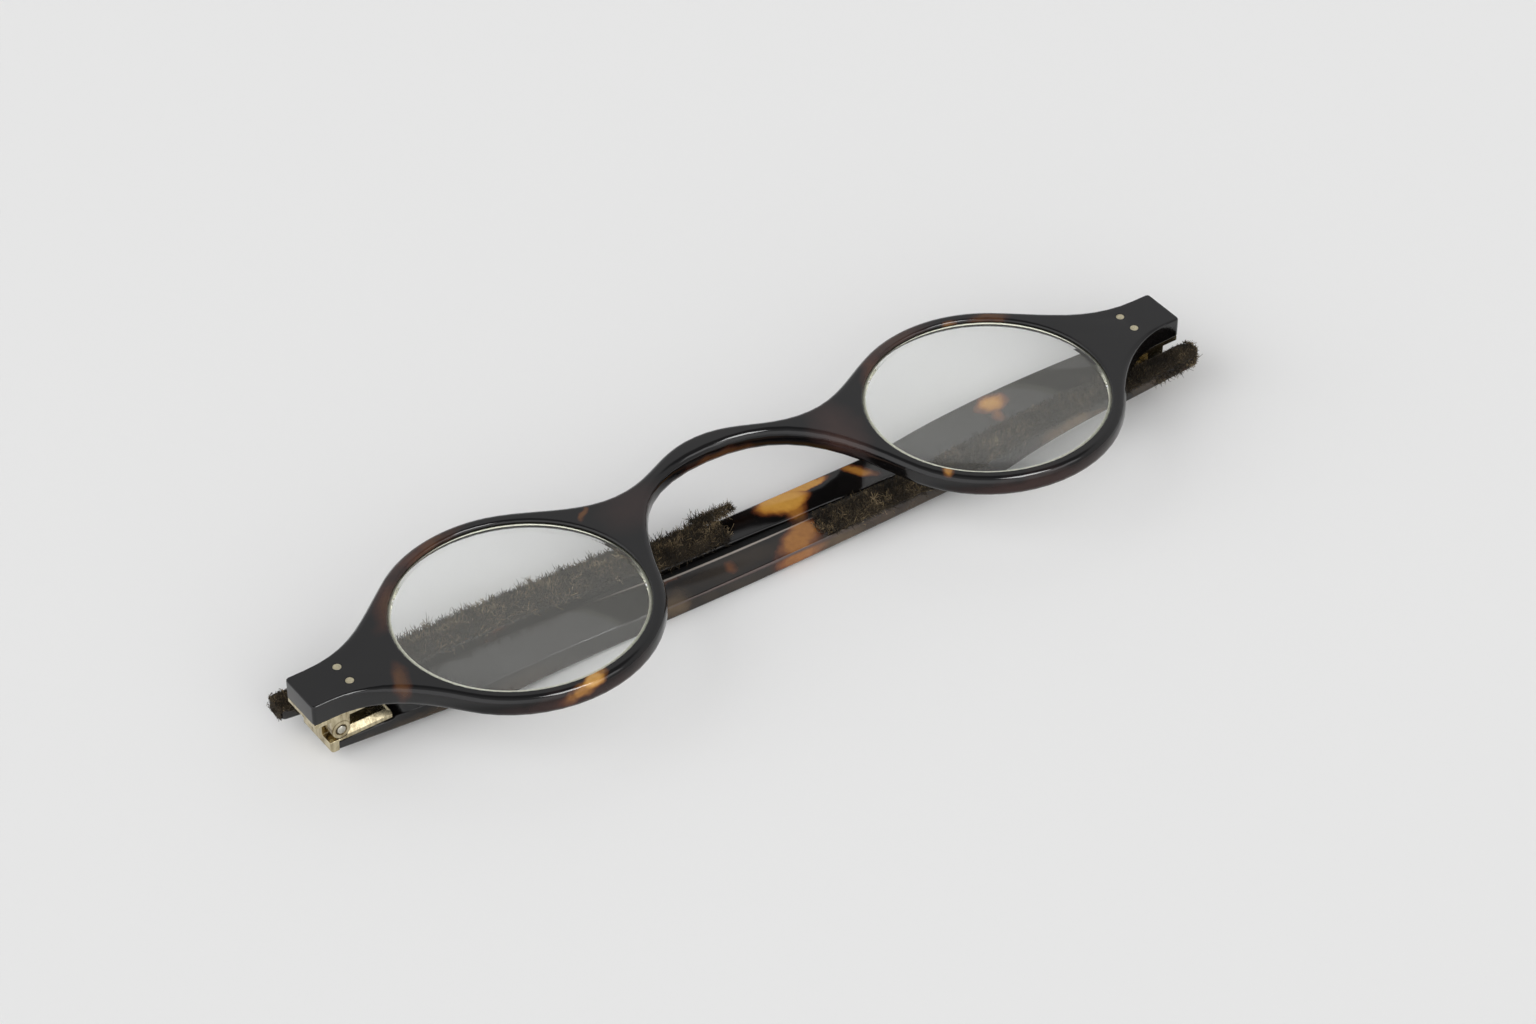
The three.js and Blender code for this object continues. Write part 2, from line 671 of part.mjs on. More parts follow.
const spectacles = new THREE.Group();
spectacles.add(
  piece('front_frame', frontPlate(), tortoiseshell),
  piece('left_lens', lensBlank(new THREE.Vector2(-lensCentre, 0)), glass),
  piece('right_lens', lensBlank(new THREE.Vector2(lensCentre, 0)), glass),
);

const leftSide = sideAssembly('left');
leftSide.position.set(-axisReach, END_PIECE_RISE, axisLevel);
const rightSide = sideAssembly('right');
rightSide.position.set(axisReach, END_PIECE_RISE, axisLevel);
rightSide.rotation.z = Math.PI;
spectacles.add(leftSide, rightSide);

export default spectacles;
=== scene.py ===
# Tortoiseshell spectacles, folded and lying on a pale table
import math

import bmesh
import bpy
import numpy as np
from mathutils import Matrix, Vector


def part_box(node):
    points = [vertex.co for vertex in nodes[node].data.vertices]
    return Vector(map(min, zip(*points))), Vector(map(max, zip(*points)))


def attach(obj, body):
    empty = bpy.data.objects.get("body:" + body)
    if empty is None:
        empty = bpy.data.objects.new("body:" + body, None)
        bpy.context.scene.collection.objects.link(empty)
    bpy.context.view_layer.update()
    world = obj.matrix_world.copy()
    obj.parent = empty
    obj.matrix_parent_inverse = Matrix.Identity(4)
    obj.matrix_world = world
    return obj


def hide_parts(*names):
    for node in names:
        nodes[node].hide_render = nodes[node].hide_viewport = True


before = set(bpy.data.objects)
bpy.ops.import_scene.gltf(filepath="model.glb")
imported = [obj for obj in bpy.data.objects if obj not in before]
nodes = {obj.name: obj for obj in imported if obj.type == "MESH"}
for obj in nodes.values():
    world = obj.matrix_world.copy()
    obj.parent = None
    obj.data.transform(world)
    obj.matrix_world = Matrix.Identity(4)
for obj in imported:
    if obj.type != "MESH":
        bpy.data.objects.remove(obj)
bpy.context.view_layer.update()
scene = bpy.context.scene
scene.view_settings.view_transform = "Standard"
mm = 0.001
weldReach = 1e-6
sides = ("left", "right")
print("frame loaded,", len(nodes), "pieces")


# camera, where the photograph was taken from
cameraSetup = {
    "azimuth": -0.614373581,
    "elevation": 0.690166387,
    "distance": 0.524505,
    "pan": -0.00172697,
    "tilt": -0.00388535,
    "aimHeight": 0.00983,
    "lens": 103.125,
    "sensor": 36.0,
    "clip": (0.01, 20),
}


def makeCamera(setup):
    turn, rise = setup["azimuth"], setup["elevation"]
    pan, tilt = setup["pan"], setup["tilt"]
    flat = math.cos(rise)
    back = Vector((math.sin(turn) * flat, -math.cos(turn) * flat, math.sin(rise)))
    right = Vector((math.cos(turn), math.sin(turn), 0))
    up = back.cross(right)
    ahead = -back * math.cos(pan) - right * math.sin(pan)
    across = right * math.cos(pan) - back * math.sin(pan)
    look = ahead * math.cos(tilt) + up * math.sin(tilt)
    top = up * math.cos(tilt) - ahead * math.sin(tilt)
    camera = bpy.data.cameras.new("camera")
    camera.lens = setup["lens"]
    camera.sensor_width = setup["sensor"]
    camera.clip_start, camera.clip_end = setup["clip"]
    holder = bpy.data.objects.new("camera", camera)
    place = back * setup["distance"] + Vector((0, 0, setup["aimHeight"]))
    turned = Matrix((across, top, -look)).transposed().to_4x4()
    holder.matrix_world = Matrix.Translation(place) @ turned
    scene.collection.objects.link(holder)
    scene.camera = holder


makeCamera(cameraSetup)


# node helpers: sockets are linked, anything else is set
def put(tree, kind, inputs=None, **settings):
    node = tree.nodes.new("ShaderNode" + kind)
    for name, value in settings.items():
        setattr(node, name, value)
    for name, value in (inputs or {}).items():
        if isinstance(value, bpy.types.NodeSocket):
            tree.links.new(value, node.inputs[name])
        else:
            node.inputs[name].default_value = value
    return node


def calc(tree, operation, *values, clamp=False):
    return put(tree, "Math", dict(enumerate(values)), operation=operation, use_clamp=clamp).outputs[0]


def vectorCalc(tree, operation, *values, result="Vector"):
    return put(tree, "VectorMath", dict(enumerate(values)), operation=operation).outputs[result]


def eased(tree, value, start, end, low=0.0, high=1.0):
    reach = {"Value": value, "From Min": start, "From Max": end, "To Min": low, "To Max": high}
    return put(tree, "MapRange", reach, interpolation_type="SMOOTHSTEP").outputs[0]


def mixed(tree, factor, first, second, **settings):
    inputs = {"Factor": factor, 6: first, 7: second}
    return put(tree, "Mix", inputs, data_type="RGBA", **settings).outputs[2]


def groupOf(tree, group, inputs):
    return put(tree, "Group", inputs, node_tree=group).outputs


def bumpOf(tree, height, strength, distance):
    return put(tree, "Bump", {"Height": height, "Strength": strength, "Distance": distance}).outputs[0]


def startGroup(name, inputs, outputs):
    tree = bpy.data.node_groups.new(name, "ShaderNodeTree")
    for label, kind, value in inputs:
        socket = tree.interface.new_socket(label, in_out="INPUT", socket_type="NodeSocket" + kind)
        socket.default_value = value
    for label, kind in outputs:
        tree.interface.new_socket(label, in_out="OUTPUT", socket_type="NodeSocket" + kind)
    return tree, tree.nodes.new("NodeGroupInput").outputs, tree.nodes.new("NodeGroupOutput").inputs


def startMaterial(name):
    material = bpy.data.materials.new(name)
    material.use_nodes = True
    tree = material.node_tree
    tree.nodes.clear()
    output = put(tree, "OutputMaterial")
    return material, tree, output.inputs["Surface"]


def rampOf(tree, factor, stops):
    node = put(tree, "ValToRGB", {"Fac": factor})
    points = node.color_ramp.elements
    while len(points) < len(stops):
        points.new(0.5)
    for point, (place, color) in zip(points, stops):
        point.position = place
        point.color = (*color, 1)
    return node.outputs["Color"]


# table and light
stageSetup = {
    "tableSize": 3.0,
    "tableDrop": 0.00002,
    "tableColor": (0.82, 0.82, 0.81, 1),
    "wallColor": (1.0, 1.0, 1.01, 1),
    "wallAxis": (-0.829, -0.559, 0),
    "wallReach": (-0.09, 0.5),
    "wallLevels": (0.55, 2.45),
    "mirroredWall": 1.25,
    "backdrop": 0.8,
    "ceilingAt": (0.037, -0.083, 0.996),
    "ceilingShade": 0.65,
    "ceilingReach": (0.74, 0.82),
    "lamps": [  # name, where it stands, distance, size, power
        ("softbox", (0.16, -0.42, 0.89), 1.7, (0.62, 0.5), 11.0),
        ("frontPanel", (0.444, -0.637, 0.630), 1.6, (0.7, 0.6), 1.9),
    ],
}


def makeLamp(name, place, size, power):
    lamp = bpy.data.lights.new(name, "AREA")
    lamp.shape = "RECTANGLE"
    lamp.size, lamp.size_y = size
    lamp.energy = power
    holder = bpy.data.objects.new(name, lamp)
    holder.location = place
    holder.rotation_euler = Vector(place).to_track_quat("Z", "Y").to_euler()
    holder.visible_diffuse = False  # a highlight in the polish; the room gives the rest
    scene.collection.objects.link(holder)


def makeStage(setup):
    bm = bmesh.new()
    bmesh.ops.create_grid(bm, x_segments=1, y_segments=1, size=setup["tableSize"] / 2)
    bmesh.ops.translate(bm, verts=bm.verts, vec=(0, 0, -setup["tableDrop"]))
    mesh = bpy.data.meshes.new("table")
    bm.to_mesh(mesh)
    bm.free()
    table = bpy.data.objects.new("table", mesh)
    scene.collection.objects.link(table)
    material, tree, surface = startMaterial("tablePaper")
    paper = put(
        tree, "BsdfPrincipled",
        {"Base Color": setup["tableColor"], "Roughness": 0.95, "Specular IOR Level": 0.1},
    )
    clear = put(tree, "BsdfTransparent")
    below = put(tree, "NewGeometry").outputs["Backfacing"]  # open sides reach under it and show from there
    oneSided = put(tree, "MixShader", {0: below, 1: paper.outputs[0], 2: clear.outputs[0]})
    tree.links.new(oneSided.outputs[0], surface)
    mesh.materials.append(material)
    for name, way, distance, size, power in setup["lamps"]:
        makeLamp(name, Vector(way).normalized() * distance, size, power)


def makeRoom(setup):
    world = bpy.data.worlds.new("room")
    world.use_nodes = True
    tree = world.node_tree
    toward = put(tree, "TexCoord").outputs["Generated"]
    path = put(tree, "LightPath").outputs
    high = vectorCalc(tree, "DOT_PRODUCT", toward, setup["ceilingAt"], result="Value")
    ceiling = eased(tree, high, *setup["ceilingReach"], 1.0, 1 - setup["ceilingShade"])
    dim, bright = setup["wallLevels"]
    mirrored = put(
        tree, "MapRange",
        {"Value": path["Is Glossy Ray"], "To Min": bright, "To Max": setup["mirroredWall"]},
    )
    aside = vectorCalc(tree, "DOT_PRODUCT", toward, setup["wallAxis"], result="Value")
    walls = eased(tree, aside, *setup["wallReach"], dim, mirrored.outputs[0])
    level = calc(tree, "MULTIPLY", ceiling, walls)
    seen = calc(tree, "MAXIMUM", path["Is Camera Ray"], path["Is Transmission Ray"])
    shown = put(tree, "Mix", {"Factor": seen, "A": level, "B": setup["backdrop"]})
    room = tree.nodes["Background"]
    room.inputs["Color"].default_value = setup["wallColor"]
    tree.links.new(shown.outputs[0], room.inputs["Strength"])
    scene.world = world


makeRoom(stageSetup)
makeStage(stageSetup)
print("stage ready")


# tortoiseshell: one rounded blot of colour, with a soft edge
def makeBlotGroup():
    tree, given, out = startGroup(
        "shellBlot",
        [
            ("Vector", "Vector", (0, 0, 0)), ("Centre", "Vector", (0, 0, 0)),
            ("Reach", "Vector", (1, 1, 1)), ("Turn", "Float", 0.0), ("Edge", "Float", 0.3),
        ],
        [("Mask", "Float")],
    )
    offset = vectorCalc(tree, "SUBTRACT", given["Vector"], given["Centre"])
    turned = put(
        tree, "VectorRotate", {"Vector": offset, "Angle": given["Turn"]},
        rotation_type="Z_AXIS", invert=True,
    )
    share = vectorCalc(tree, "DIVIDE", turned.outputs[0], given["Reach"])
    far = vectorCalc(tree, "LENGTH", share, result="Value")
    outer, inner = (calc(tree, way, 1.0, given["Edge"]) for way in ("ADD", "SUBTRACT"))
    tree.links.new(eased(tree, far, outer, inner), out["Mask"])
    return tree


# drifting clouds that give blots their ragged edges and the dark ground its brown
def makeGrainGroup():
    tree, given, out = startGroup(
        "shellGrain",
        [("Vector", "Vector", (0, 0, 0)), ("Drift", "Float", 0.003)],
        [("Vector", "Vector"), ("Cloud", "Float"), ("Fleck", "Float")],
    )
    moved = given["Vector"]
    for scale, share in ((170.0, 1.0), (520.0, 0.5)):
        noise = put(tree, "TexNoise", {"Vector": given["Vector"], "Scale": scale, "Detail": 2.0})
        swing = vectorCalc(tree, "SUBTRACT", noise.outputs["Color"], (0.5, 0.5, 0.5))
        reach = calc(tree, "MULTIPLY", given["Drift"], share)
        step = put(tree, "VectorMath", {0: swing, "Scale": reach}, operation="SCALE")
        moved = vectorCalc(tree, "ADD", moved, step.outputs[0])
    tree.links.new(moved, out["Vector"])
    for label, scale in (("Cloud", 85.0), ("Fleck", 1500.0)):
        noise = put(tree, "TexNoise", {"Vector": moved, "Scale": scale, "Detail": 3.0})
        tree.links.new(noise.outputs["Fac"], out[label])
    return tree


# rubbed polish: uneven gloss and fine hairline scratches
def makeRubGroup():
    tree, given, out = startGroup(
        "rubbedPolish",
        [("Vector", "Vector", (0, 0, 0)), ("Gloss", "Float", 0.2), ("Spread", "Float", 0.1)],
        [("Roughness", "Float"), ("Height", "Float")],
    )
    patchy = put(tree, "TexNoise", {"Vector": given["Vector"], "Scale": 320.0, "Detail": 4.0})
    swing = calc(tree, "SUBTRACT", patchy.outputs["Fac"], 0.5)
    swing = calc(tree, "MULTIPLY", swing, given["Spread"])
    stretched = put(
        tree, "Mapping",
        {"Vector": given["Vector"], "Rotation": (0.2, 0.1, 0.6), "Scale": (260, 5200, 2600)},
    )
    hairline = put(tree, "TexNoise", {"Vector": stretched.outputs[0], "Scale": 1.0, "Detail": 2.0})
    tree.links.new(calc(tree, "ADD", given["Gloss"], swing), out["Roughness"])
    tree.links.new(hairline.outputs["Fac"], out["Height"])
    return tree


blotGroup = makeBlotGroup()
grainGroup = makeGrainGroup()
rubGroup = makeRubGroup()

shellFinish = {
    "fleck": (0.25, 0.87),  # fine grain in the blots: share and base
    "glossSpread": 0.08,
    "scratches": (0.05, 0.00002),  # strength and depth
    "polish": (0.5, 0.22),  # of the face, and of the duller walls
    "ior": 1.54,
}
blotBlend = 0.15
# blots as (centre, reach, turn, edge, strength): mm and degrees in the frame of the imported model
frontShell = {
    "drift": 0.0024,
    "gloss": 0.10,
    "ground": [
        (0.40, (0.0021, 0.0020, 0.0022)), (0.62, (0.0030, 0.0027, 0.0028)),
        (0.85, (0.0072, 0.0044, 0.0040)),
    ],
    "amber": [
        (0.12, (0, 0, 0)), (0.2, (0.022, 0.006, 0.002)), (0.45, (0.105, 0.042, 0.010)),
        (0.75, (0.36, 0.17, 0.034)), (1.0, (0.55, 0.31, 0.085)),
    ],
    "amberBlots": [
        ((-33.9, -15.7, 9.6), (2.1, 1.05, 1.0), 30, 0.5, 0.92),
        ((-35.7, -16.4, 9.2), (2.0, 0.9, 1.0), 14, 0.6, 0.62),
        ((-37.6, -16.6, 8.8), (1.5, 0.7, 0.9), 0, 0.8, 0.50),
        ((-39.6, -16.4, 8.4), (3.0, 0.8, 1.0), -6, 0.9, 0.32),
        ((-52.3, -2.9, 9.4), (1.2, 3.0, 1.8), -23, 0.9, 0.36),
        ((-19.2, 9.2, 9.7), (0.5, 1.4, 1.2), -38, 0.7, 0.44),
        ((21.1, -9.2, 9.3), (0.9, 0.9, 1.3), 0, 0.6, 0.72),
        ((38.9, 14.0, 9.6), (1.1, 0.6, 0.9), 0, 0.7, 0.50),
        ((43.4, 12.2, 9.5), (2.6, 0.9, 1.0), -36, 0.8, 0.36),
        ((24.6, 11.2, 9.2), (4.6, 1.6, 1.6), 52, 0.9, 0.27),
        ((-46.6, 8.6, 9.2), (5.4, 1.8, 1.6), 50, 0.9, 0.30),
        ((-37.0, 14.8, 9.0), (5.6, 1.2, 1.8), 14, 0.9, 0.30),
        ((1.0, 10.9, 7.4), (10.0, 1.2, 1.3), 0, 0.8, 0.30),
    ],
    "horn": [(0.12, (0, 0, 0)), (0.5, (0.022, 0.010, 0.008)), (1.0, (0.060, 0.032, 0.022))],
    "hornBlots": [
        ((-13.4, 7.0, 9.4), (5.0, 4.0, 1.6), 30, 0.9, 0.42),
        ((26.0, 12.4, 9.0), (5.0, 1.6, 1.8), 48, 0.9, 0.50),
        ((31.0, 15.0, 9.4), (5.0, 1.4, 1.6), 8, 0.9, 0.80),
        ((-41.0, 14.2, 9.2), (8.0, 2.0, 2.0), 32, 0.9, 0.65),
        ((14.5, 4.0, 9.4), (3.0, 6.0, 1.6), -12, 0.9, 0.60),
        ((-36.0, -16.5, 7.8), (15.0, 4.0, 1.4), 0, 0.9, 0.50),
        ((29.0, -16.0, 7.8), (17.0, 5.0, 1.4), 0, 0.9, 0.50),
    ],
    "dullBlots": [
        ((-35.0, -18.0, 7.6), (24.0, 12.0, 1.8), 0, 0.25, 1.0),
        ((33.0, -18.0, 7.6), (24.0, 12.0, 1.8), 0, 0.25, 1.0),
        ((1.0, 8.0, 7.6), (18.0, 7.0, 1.8), 0, 0.25, 0.8),
    ],
    "paintedEdgeHighlights": [],
}
sideShell = {
    "drift": 0.0026,
    "gloss": 0.08,
    "ground": [
        (0.38, (0.0022, 0.0020, 0.0021)), (0.58, (0.0038, 0.0030, 0.0028)),
        (0.80, (0.0110, 0.0054, 0.0044)),
    ],
    "amber": [
        (0.12, (0, 0, 0)), (0.25, (0.040, 0.010, 0.003)), (0.45, (0.15, 0.050, 0.012)),
        (0.72, (0.42, 0.18, 0.030)), (1.0, (0.58, 0.30, 0.055)),
    ],
    "amberBlots": [
        ((6.9, 5.1, 2.0), (3.2, 1.9, 2.0), 0, 0.42, 0.97),
        ((10.8, 6.0, 2.1), (3.3, 0.75, 1.6), -4, 0.45, 0.92),
        ((7.2, 3.0, 1.6), (1.6, 1.4, 1.8), 12, 0.7, 0.62),
        ((17.9, 4.7, 2.1), (2.4, 0.75, 1.6), -42, 0.7, 0.72),
        ((37.8, 4.0, 2.4), (2.1, 1.5, 1.6), 10, 0.7, 0.92),
        ((36.9, 1.9, 2.4), (0.8, 1.5, 1.4), -12, 0.8, 0.5),
        ((6.0, -0.8, 2.2), (2.1, 2.2, 1.4), 20, 0.6, 0.60),
        ((4.2, -2.5, 2.0), (3.3, 2.0, 1.6), 20, 0.6, 0.60),
        ((3.4, -3.7, 1.1), (3.8, 1.4, 1.6), 0, 0.7, 0.52),
        ((-5.6, -1.4, 2.2), (0.9, 1.2, 1.0), -25, 0.9, 0.38),
        ((-13.2, 0.6, 2.1), (2.4, 0.5, 0.8), 0, 0.8, 0.34),
        ((-36.0, 3.7, 2.2), (1.6, 0.7, 1.2), 0, 0.7, 0.48),
        ((61.0, -4.4, 4.6), (1.6, 1.0, 1.0), 0, 0.8, 0.42),
    ],
    "horn": [(0.12, (0, 0, 0)), (0.4, (0.040, 0.026, 0.014)), (1.0, (0.150, 0.100, 0.052))],
    "hornBlots": [
        ((-14.2, -2.7, 1.4), (2.4, 1.6, 1.6), 0, 0.8, 0.62),
        ((-46.0, -2.3, 0.8), (15.0, 0.9, 1.6), -1.6, 0.8, 0.36),
        ((-8.0, -3.6, 0.6), (9.0, 0.7, 1.3), 0, 0.9, 0.28),
        ((-4.0, -1.3, 1.8), (11.0, 2.2, 1.4), 0, 0.8, 0.26),
        ((9.0, -3.9, 0.9), (5.0, 1.0, 1.6), 0, 0.8, 0.56),
        ((18.0, -4.1, 1.2), (9.0, 0.8, 1.8), 0, 0.8, 0.34),
        ((44.0, -4.6, 2.8), (4.6, 0.9, 1.4), 0, 0.7, 0.70),
        ((58.0, -4.7, 4.2), (5.0, 0.9, 1.2), 0, 0.8, 0.42),
    ],
    "dullBlots": [
        ((-46.0, 0.0, 2.4), (7.0, 4.0, 1.4), 0, 0.5, 0.5),
        ((-9.4, -0.6, 2.2), (5.2, 0.9, 0.8), -10, 0.5, 1.0),
    ],
    # painted highlights: a pale line along the far top edge and a faint one along the near top crease of
    # the side, where these rounded edges catch the light
    "paintedEdgeHighlights": [
        ((-6.0, 0.92, 2.1), (13.0, 0.26, 0.5), -3, 0.5, (0.40, 0.35, 0.31, 1)),
        ((-3.0, -3.47, 2.05), (15.0, 0.10, 0.3), -1.6, 0.5, (0.075, 0.052, 0.047, 1)),
    ],
}


# strongest blot of a list at each point
def blotMask(tree, where, blots):
    mask = None
    for centre, reach, turn, edge, strength in blots:
        blot = groupOf(tree, blotGroup, {
            "Vector": where, "Centre": [c * mm for c in centre], "Reach": [r * mm for r in reach],
            "Turn": math.radians(turn), "Edge": edge,
        })
        weight = calc(tree, "MULTIPLY", blot["Mask"], strength)
        mask = weight if mask is None else calc(tree, "SMOOTH_MAX", mask, weight, blotBlend)
    return mask


def makeShellMaterial(name, setup, finish):
    material, tree, surface = startMaterial(name)
    where = put(tree, "TexCoord").outputs["Object"]
    grain = groupOf(tree, grainGroup, {"Vector": where, "Drift": setup["drift"]})
    clouded = calc(tree, "MULTIPLY_ADD", grain["Fleck"], *finish["fleck"])
    color = rampOf(tree, grain["Cloud"], setup["ground"])
    for ink in ("horn", "amber"):
        mask = blotMask(tree, grain["Vector"], setup[ink + "Blots"])
        stain = rampOf(tree, calc(tree, "MULTIPLY", mask, clouded, clamp=True), setup[ink])
        color = mixed(tree, 1.0, color, stain, blend_type="ADD", clamp_result=True)
    # painted highlights: pale lines laid along rounded edges where they catch the light
    for *line, highlightColor in setup["paintedEdgeHighlights"]:
        color = mixed(tree, blotMask(tree, where, [(*line, 1.0)]), color, highlightColor)
    rub = groupOf(
        tree, rubGroup, {"Vector": where, "Gloss": setup["gloss"], "Spread": finish["glossSpread"]},
    )
    face, wall = finish["polish"]
    dull = blotMask(tree, where, setup["dullBlots"])  # walls that are less polished than the face
    polish = put(tree, "MapRange", {"Value": dull, "To Min": face, "To Max": wall})
    shell = put(
        tree, "BsdfPrincipled",
        {
            "Base Color": color, "Roughness": rub["Roughness"], "IOR": finish["ior"],
            "Specular IOR Level": polish.outputs[0],
            "Normal": bumpOf(tree, rub["Height"], *finish["scratches"]),
        },
    )
    tree.links.new(shell.outputs[0], surface)
    return material


# pale brass, with a veil of tarnish and streaks down the caps
def makeTarnishGroup():
    tree, given, out = startGroup(
        "tarnish",
        [("Vector", "Vector", (0, 0, 0)), ("Amount", "Float", 0.5)],
        [("Mask", "Float"), ("Height", "Float")],
    )
    spots = put(
        tree, "TexNoise",
        {"Vector": given["Vector"], "Scale": 750.0, "Detail": 5.0, "Roughness": 0.65},
    )
    down = put(tree, "Mapping", {"Vector": given["Vector"], "Scale": (2600, 2600, 260)})
    streaks = put(tree, "TexNoise", {"Vector": down.outputs[0], "Scale": 1.0, "Detail": 3.0})
    both = calc(tree, "ADD", spots.outputs["Fac"], streaks.outputs["Fac"])
    least, full = 1.32, 1.42  # of the two noises together
    low = calc(tree, "SUBTRACT", least, given["Amount"])
    mask = put(tree, "MapRange", {"Value": both, "From Min": low, "From Max": full})
    tree.links.new(mask.outputs[0], out["Mask"])
    tree.links.new(spots.outputs["Fac"], out["Height"])
    return tree


# dark rings round each hinge pin, at the edge of the pin head and of the knuckle: painted shade of the gaps
# there
def makeRingShadeGroup():
    tree, given, out = startGroup(
        "pinRingShade",
        [
            ("Vector", "Vector", (0, 0, 0)), ("Axis", "Vector", (0, 0, 0)),
            ("Radius", "Float", 0.0007), ("Width", "Float", 0.00012),
        ],
        [("Mask", "Float")],
    )
    folded = vectorCalc(tree, "ABSOLUTE", given["Vector"])
    offset = vectorCalc(tree, "SUBTRACT", folded, given["Axis"])
    flat = vectorCalc(tree, "MULTIPLY", offset, (1, 0, 1))
    far = vectorCalc(tree, "LENGTH", flat, result="Value")
    off = calc(tree, "ABSOLUTE", calc(tree, "SUBTRACT", far, given["Radius"]))
    tree.links.new(eased(tree, off, given["Width"], 0.0), out["Mask"])
    return tree


ringShadeGroup = makeRingShadeGroup()
tarnishGroup = makeTarnishGroup()
brassFinish = {
    "glossSpread": 0.12,
    "dulled": 0.18,  # roughness that tarnish adds
    "pits": (0.15, 0.00003),  # strength and depth
    "pinAxis": (59.49, 0, 4.67),
}
hingeBrass = {
    "clean": (0.66, 0.58, 0.39, 1), "dull": (0.17, 0.125, 0.06, 1), "amount": 0.48, "gloss": 0.17,
    # rings of painted shade at the gaps round pin head and knuckle, as radius, width and share
    "ringShade": ((0.7, 0.12, 0.75), (1.22, 0.14, 0.6)),  # radius, width, share
}
pinBrass = {
    "clean": (0.66, 0.64, 0.56, 1), "dull": (0.26, 0.24, 0.19, 1), "amount": 0.36, "gloss": 0.28,
    "ringShade": (),
}
rivetBrass = {
    "clean": (0.78, 0.71, 0.50, 1), "dull": (0.30, 0.25, 0.15, 1), "amount": 0.36, "gloss": 0.34,
    "ringShade": (),
}


def makeBrassMaterial(name, setup, finish):
    material, tree, surface = startMaterial(name)
    where = put(tree, "TexCoord").outputs["Object"]
    tarnish = groupOf(tree, tarnishGroup, {"Vector": where, "Amount": setup["amount"]})
    stain = tarnish["Mask"]
    # painted shade: dark rings at the gaps round the hinge pin
    for radius, width, share in setup["ringShade"]:
        ringShade = groupOf(tree, ringShadeGroup, {
            "Vector": where, "Axis": [c * mm for c in finish["pinAxis"]],
            "Radius": radius * mm, "Width": width * mm,
        })
        stain = calc(tree, "MULTIPLY_ADD", ringShade["Mask"], share, stain, clamp=True)
    rub = groupOf(
        tree, rubGroup, {"Vector": where, "Gloss": setup["gloss"], "Spread": finish["glossSpread"]},
    )
    brass = put(
        tree, "BsdfPrincipled",
        {
            "Base Color": mixed(tree, stain, setup["clean"], setup["dull"]), "Metallic": 1.0,
            "Roughness": calc(tree, "MULTIPLY_ADD", tarnish["Mask"], finish["dulled"], rub["Roughness"]),
            "Normal": bumpOf(tree, tarnish["Height"], *finish["pits"]),
        },
    )
    tree.links.new(brass.outputs[0], surface)
    return material


shellFrontMaterial = makeShellMaterial("tortoiseshellFront", frontShell, shellFinish)
shellSideMaterial = makeShellMaterial("tortoiseshellSide", sideShell, shellFinish)
hingeMaterial = makeBrassMaterial("hingeBrass", hingeBrass, brassFinish)
pinMaterial = makeBrassMaterial("pinBrass", pinBrass, brassFinish)
rivetMaterial = makeBrassMaterial("rivetBrass", rivetBrass, brassFinish)

# carried-over solids: their own mesh stays, modifiers round it off
solidFinish = {
    "flatAngle": 0.3,
    "edgeAngle": 35,
    "edgeSteps": 2,
    "normalWeight": 100,
    "normalReach": 0.001,
    "leafEdge": 0.00006,
    "rivetEdge": 0.00004,
}


def dressSolid(name, material, setup, edge=None):
    piece = nodes[name]
    piece.data.materials.clear()
    piece.data.materials.append(material)
    piece.data.shade_smooth()
    weld = piece.modifiers.new("weld", "WELD")
    weld.merge_threshold = weldReach
    flat = piece.modifiers.new("flat", "DECIMATE")
    flat.decimate_type = "DISSOLVE"
    flat.angle_limit = math.radians(setup["flatAngle"])
    if edge:
        bevel = piece.modifiers.new("edge", "BEVEL")
        bevel.limit_method = "ANGLE"
        bevel.angle_limit = math.radians(setup["edgeAngle"])
        bevel.width = setup[edge]
        bevel.segments = setup["edgeSteps"]
    normals = piece.modifiers.new("normals", "WEIGHTED_NORMAL")
    normals.weight = setup["normalWeight"]
    normals.thresh = setup["normalReach"]


dressSolid("front_frame", shellFrontMaterial, solidFinish)
for side in sides:
    dressSolid(side + "_temple", shellSideMaterial, solidFinish)
    dressSolid(side + "_hinge_pin", pinMaterial, solidFinish)
    for part in ("front", "side"):
        dressSolid(f"{side}_{part}_hinge_leaf", hingeMaterial, solidFinish, "leafEdge")
        for level in ("upper", "lower"):
            dressSolid(f"{side}_{part}_rivet_{level}", rivetMaterial, solidFinish, "rivetEdge")
print("tortoiseshell and brass dressed")


# lenses: thin crowned glass with a ground edge that sits in the rim
lensSetup = {
    "edgeThickness": 1.8,
    "frontCrown": 0.3,
    "backCrown": 0.6,
    "shoulder": 0.95,
    "groundReach": 0.45,
    "crownSteps": 14,
    "turnSteps": 160,
    "poleWeld": 1e-7,
    "sharpAbove": 22,
    "ior": 1.52,
}


def makeGlassMaterial(setup):
    material, tree, surface = startMaterial("lensGlass")
    glass = put(
        tree, "BsdfPrincipled",
        {
            "Base Color": (0.985, 0.995, 0.985, 1), "Roughness": 0.0, "IOR": setup["ior"],
            "Transmission Weight": 0.985, "Specular Tint": (1.0, 0.96, 0.84, 1),
        },
    )
    clear = put(tree, "BsdfTransparent", {"Color": (1, 1, 1, 1)})
    path = put(tree, "LightPath").outputs
    lamps = put(tree, "MixShader", {0: path["Is Shadow Ray"], 1: glass.outputs[0], 2: clear.outputs[0]})
    walls = put(tree, "MixShader", {0: path["Is Diffuse Ray"], 1: lamps.outputs[0], 2: clear.outputs[0]})
    tree.links.new(walls.outputs[0], surface)
    return material


